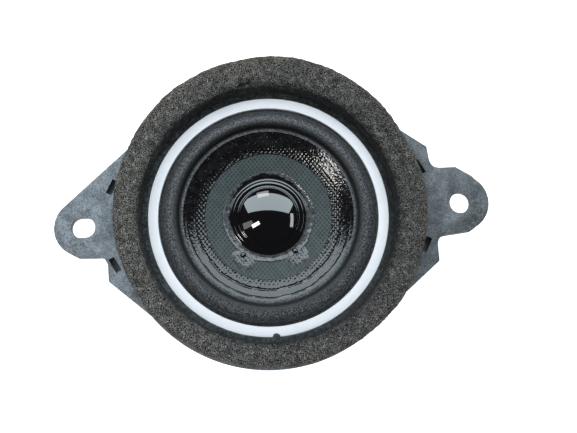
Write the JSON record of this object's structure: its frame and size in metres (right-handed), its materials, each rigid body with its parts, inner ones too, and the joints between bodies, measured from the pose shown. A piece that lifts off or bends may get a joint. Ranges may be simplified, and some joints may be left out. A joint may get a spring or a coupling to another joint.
{
  "type": "car dash speaker",
  "caption": "Small round car dash speaker: moulded frame with screw ears, foam sealing ring, woven cone with a glossy dust cap, compact cup motor behind.",
  "frame": {"origin": "centre of the motor's flat back face, on the speaker's axis", "axes": "+Z along the speaker's axis, out of its front; +X through both screw ears, towards the round hole"},
  "size_m": [0.1221, 0.0856, 0.038],
  "materials": {
    "frame_plastic": "moulded glass-filled, mottled satin",
    "foam": "open-cell foam, matte",
    "ring_plastic": "satin white",
    "surround_rubber": "matte, fine grain",
    "cone_weave": "woven, with a gloss coated outer band",
    "cap_gloss": "high gloss black",
    "adhesive": "glossy, uneven",
    "former": "thin film",
    "copper": "enamelled winding wire and braid",
    "spider_cloth": "resin-dipped woven cloth",
    "plated_steel": "zinc plated, satin",
    "magnet_nickel": "nickel plated",
    "tin": "tin plated",
    "connector_plastic": "moulded, satin"
  },
  "bodies": {
    "frame": {"basket": "frame_plastic", "foam_gasket": "foam", "clamp_ring": "ring_plastic", "surround": "surround_rubber", "spider": "spider_cloth", "yoke": "plated_steel", "magnet": "magnet_nickel", "pole_plate": "plated_steel", "yoke_glue": "adhesive", "tinsel_lead_left": "copper", "tinsel_lead_right": "copper", "terminal_left": "tin", "terminal_right": "tin", "solder_left": "tin", "solder_right": "tin", "connector_housing": "connector_plastic"},
    "diaphragm": {"cone": "cone_weave", "dust_cap": "cap_gloss", "cap_glue": "adhesive", "lead_glue_left": "adhesive", "lead_glue_right": "adhesive", "voice_coil_former": "former", "voice_coil_winding": "copper"}
  },
  "joints": [
    {"name": "cone_travel", "type": "slide", "parent": "frame", "child": "diaphragm", "axis": [0, 0, 1], "range_m": [-0.0025, 0.0025], "stiffness_N_per_m": 1250, "deforming": ["surround", "spider", "tinsel_lead_left", "tinsel_lead_right"]}
  ]
}
